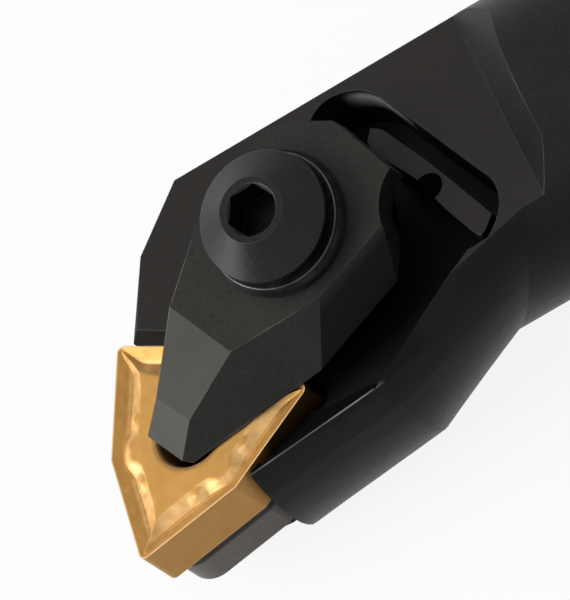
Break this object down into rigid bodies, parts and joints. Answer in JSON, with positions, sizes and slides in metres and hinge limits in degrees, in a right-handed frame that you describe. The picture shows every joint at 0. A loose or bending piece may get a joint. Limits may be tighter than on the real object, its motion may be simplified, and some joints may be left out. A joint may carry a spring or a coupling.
{
  "type": "boring bar",
  "caption": "Steel boring bar with a round shank and a double-sided trigon insert on a shim, held by a top clamp with an inclined hex-socket screw and washer.",
  "frame": {"origin": "centre of the shank's rear face", "axes": "+X along the shank to the cutting head, +Y to the side the cutting tip stands out on, +Z the rake side"},
  "size_m": [0.15, 0.0195, 0.0178],
  "materials": {
    "body_steel": "dark tempered steel, satin",
    "clamp_steel": "blackened, satin",
    "screw_steel": "blackened, turned",
    "shim_carbide": "ground grey carbide",
    "insert_coating": "gold coated, satin"
  },
  "bodies": {
    "bar": {"bar_body": "body_steel", "insert": "insert_coating", "shim": "shim_carbide", "shim_screw": "screw_steel"},
    "clamp_set": {"clamp": "clamp_steel", "clamp_washer": "screw_steel"},
    "screw": {"clamp_screw": "screw_steel"}
  },
  "joints": [
    {"name": "clamp_lift", "type": "slide", "parent": "bar", "child": "clamp_set", "axis": [0.044, 0.3342, 0.9415], "range_m": [0, 0.0025]},
    {"name": "screw_turn", "type": "hinge", "parent": "clamp_set", "child": "screw", "pos_m": [0.13499, 0.00168, 0.00648], "axis": [0.044, 0.3342, 0.9415], "range_deg": [0, 1290]}
  ],
  "couplings": [
    {"joint": "screw_turn", "follows": "clamp_lift", "rad_per_m": 8976}
  ]
}
